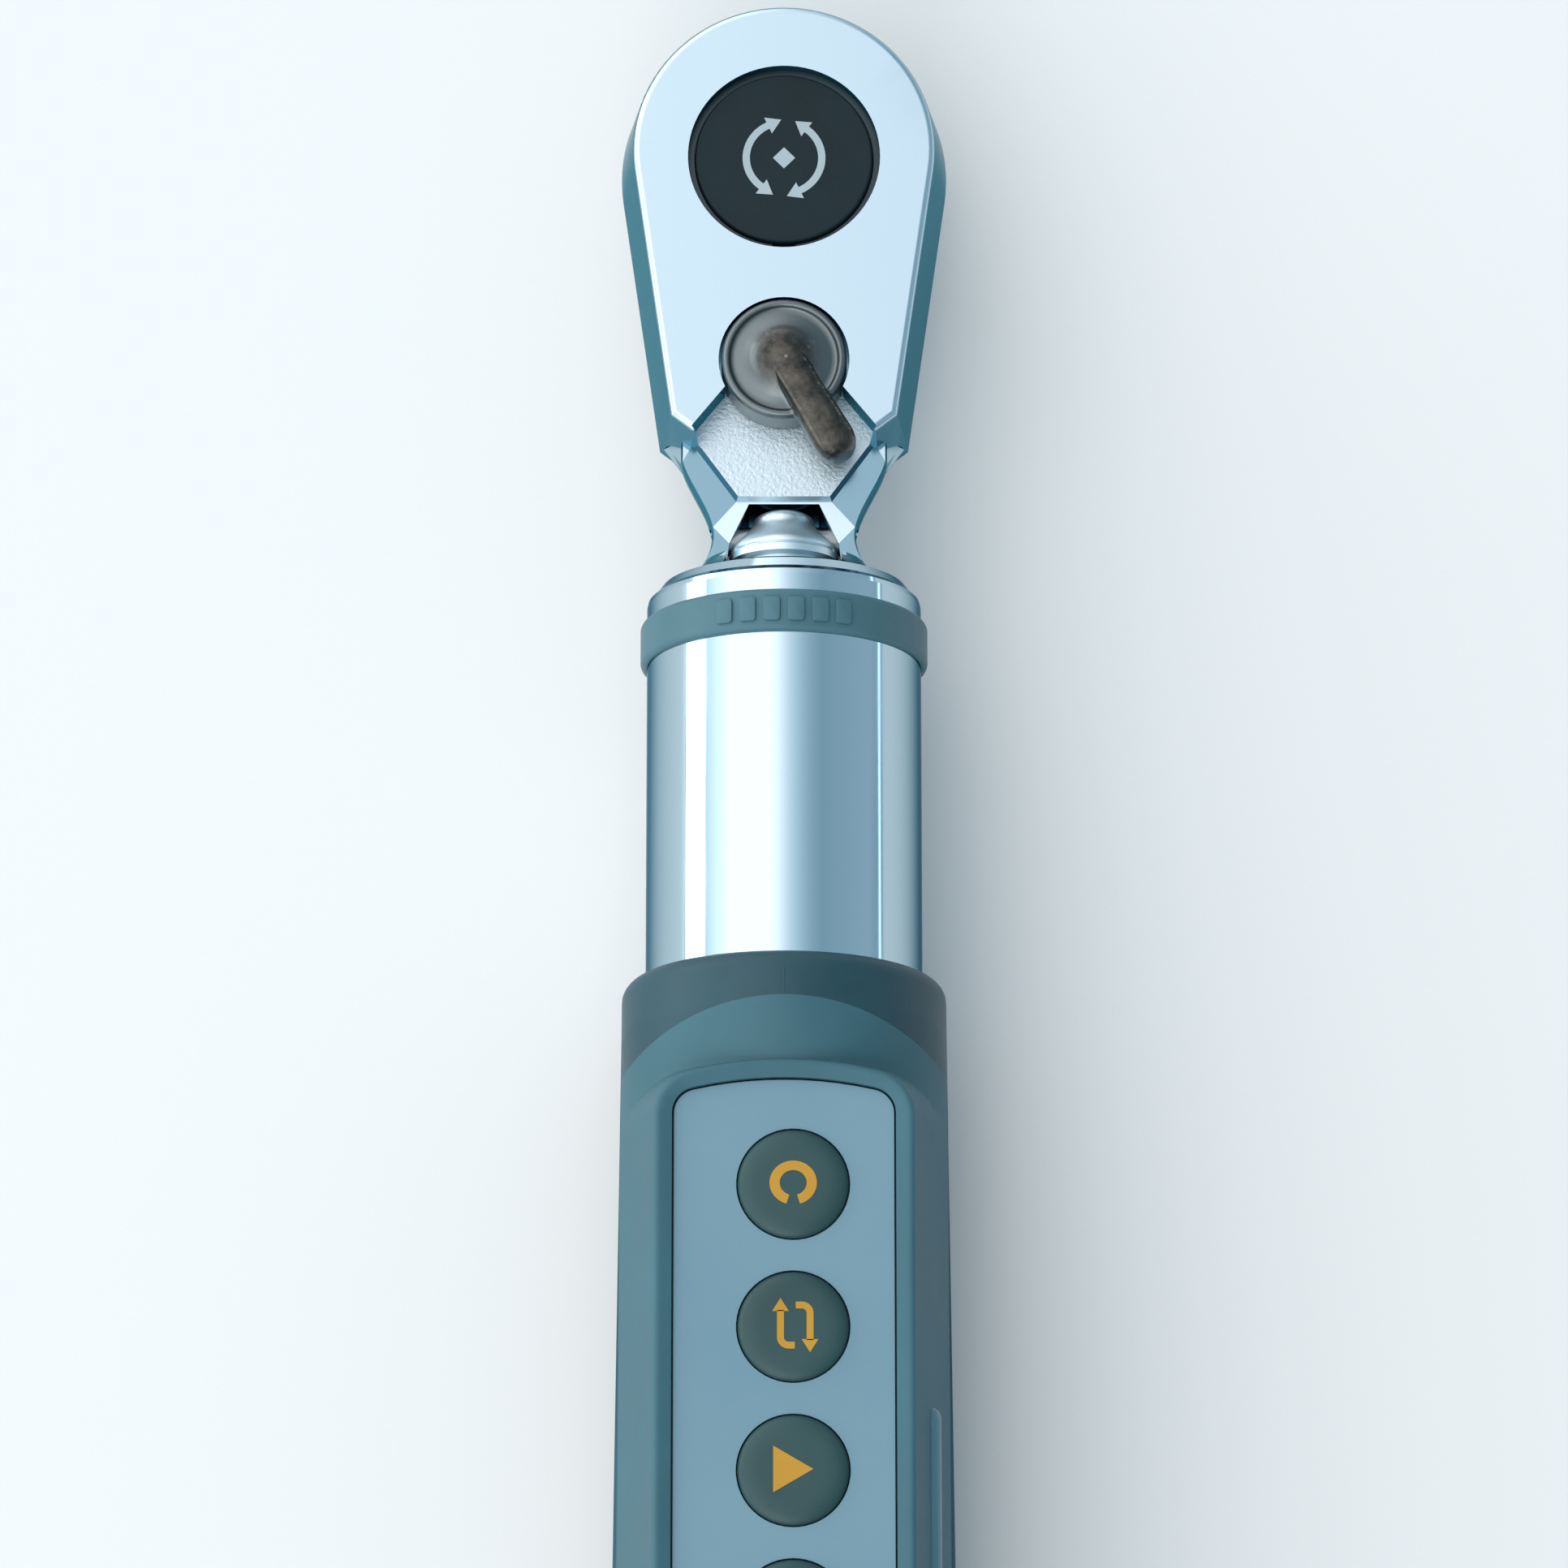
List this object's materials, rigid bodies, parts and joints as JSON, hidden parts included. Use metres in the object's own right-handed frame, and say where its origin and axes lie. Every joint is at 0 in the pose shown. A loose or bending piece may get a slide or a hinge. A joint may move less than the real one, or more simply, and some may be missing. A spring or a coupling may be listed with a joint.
{
  "type": "electronic torque wrench",
  "caption": "Electronic torque wrench: reversible square-drive ratchet head, chrome tube and soft grip with push buttons, display and screw battery cap.",
  "frame": {"origin": "centre of the square drive's end face, on the drive axis", "axes": "+Y along the tool from grip to head, +Z out of the fascia, so the square drive points to -Z, +X to the right seen from the fascia"},
  "size_m": [0.0344, 0.2558, 0.0354],
  "materials": {
    "chrome_satin": "satin",
    "chrome_polished": "polished",
    "tool_steel": "satin",
    "spring_steel": "polished",
    "bronze_lever": "satin",
    "black_cover": "matte",
    "grey_rubber": "matte",
    "soft_grip": "matte",
    "black_plastic": "matte",
    "panel_film": "satin",
    "button_rubber": "matte",
    "circuit_board": "satin",
    "chip_black": "matte",
    "display_grey": "satin",
    "window_clear": "polished",
    "clear_smoke": "polished",
    "contact_nickel": "polished",
    "cell_jacket": "gloss",
    "seal_rubber": "matte",
    "polyimide": "satin"
  },
  "bodies": {
    "wrench": {"ratchet_head": "chrome_satin", "head_cover": "black_cover", "cover_ring": "spring_steel", "pawl_pin": "spring_steel", "lever_clip": "spring_steel", "sensor_beam": "chrome_polished", "cross_pin": "tool_steel", "spigot_pins": "tool_steel", "anchor_pin": "tool_steel", "strain_gauges": "polyimide", "gauge_lead": "polyimide", "front_cap": "chrome_polished", "rubber_ring": "grey_rubber", "chrome_tube": "chrome_polished", "upper_shell": "soft_grip", "lower_shell": "black_plastic", "shell_screws": "spring_steel", "light_rib": "clear_smoke", "fascia_panel": "panel_film", "dome_switches": "contact_nickel", "main_pcb": "circuit_board", "pcb_chips": "chip_black", "buzzer": "chip_black", "status_lamps": "display_grey", "lcd_module": "display_grey", "lcd_window": "window_clear", "battery_tray": "black_plastic", "front_contact": "contact_nickel", "battery_cell_right": "cell_jacket", "battery_cell_left": "cell_jacket"},
    "drive": {"drive_gear": "tool_steel", "ball_spring": "spring_steel"},
    "drive_ball": {"drive_ball": "spring_steel"},
    "pawl": {"pawl": "tool_steel"},
    "lever": {"reversing_lever": "bronze_lever", "plunger_spring": "spring_steel"},
    "lever_plunger": {"lever_plunger": "spring_steel"},
    "cap_contact": {"cap_contact": "contact_nickel"},
    "battery_cap": {"battery_cap": "black_plastic", "cap_seal": "seal_rubber"},
    "button_1": {"button_1": "button_rubber"},
    "button_2": {"button_2": "button_rubber"},
    "button_3": {"button_3": "button_rubber"},
    "button_4": {"button_4": "button_rubber"}
  },
  "joints": [
    {"name": "drive_turn", "type": "hinge", "parent": "wrench", "child": "drive", "pos_m": [0, 0, 0], "axis": [0, 0, 1], "continuous": true},
    {"name": "drive_ball_press", "type": "slide", "parent": "drive", "child": "drive_ball", "axis": [0, -1, 0], "range_m": [0, 0.0009], "stiffness_N_per_m": 2500, "deforming": ["ball_spring"]},
    {"name": "lever_swing", "type": "hinge", "parent": "wrench", "child": "lever", "pos_m": [0, -0.022, 0], "axis": [0, 0, 1], "range_deg": [-60, 0]},
    {"name": "plunger_press", "type": "slide", "parent": "lever", "child": "lever_plunger", "axis": [0.5, -0.866, 0], "range_m": [0, 0.0006], "stiffness_N_per_m": 1500, "deforming": ["plunger_spring"]},
    {"name": "pawl_rock", "type": "hinge", "parent": "wrench", "child": "pawl", "pos_m": [0, -0.0136, 0], "axis": [0, 0, 1], "range_deg": [0, 8.4]},
    {"name": "cap_travel", "type": "slide", "parent": "wrench", "child": "cap_contact", "axis": [0, -1, 0], "range_m": [0, 0.0045]},
    {"name": "cap_turn", "type": "hinge", "parent": "cap_contact", "child": "battery_cap", "pos_m": [0, -0.226, 0.0185], "axis": [0, -1, 0], "range_deg": [0, 540]},
    {"name": "button_1_press", "type": "slide", "parent": "wrench", "child": "button_1", "axis": [0, 0, -1], "range_m": [0, 0.0005], "stiffness_N_per_m": 3000},
    {"name": "button_2_press", "type": "slide", "parent": "wrench", "child": "button_2", "axis": [0, 0, -1], "range_m": [0, 0.0005], "stiffness_N_per_m": 3000},
    {"name": "button_3_press", "type": "slide", "parent": "wrench", "child": "button_3", "axis": [0, 0, -1], "range_m": [0, 0.0005], "stiffness_N_per_m": 3000},
    {"name": "button_4_press", "type": "slide", "parent": "wrench", "child": "button_4", "axis": [0, 0, -1], "range_m": [0, 0.0005], "stiffness_N_per_m": 3000}
  ],
  "couplings": [
    {"joint": "pawl_rock", "follows": "lever_swing", "ratio": -0.14},
    {"joint": "cap_travel", "follows": "cap_turn", "m_per_rad": 0.00047746}
  ]
}
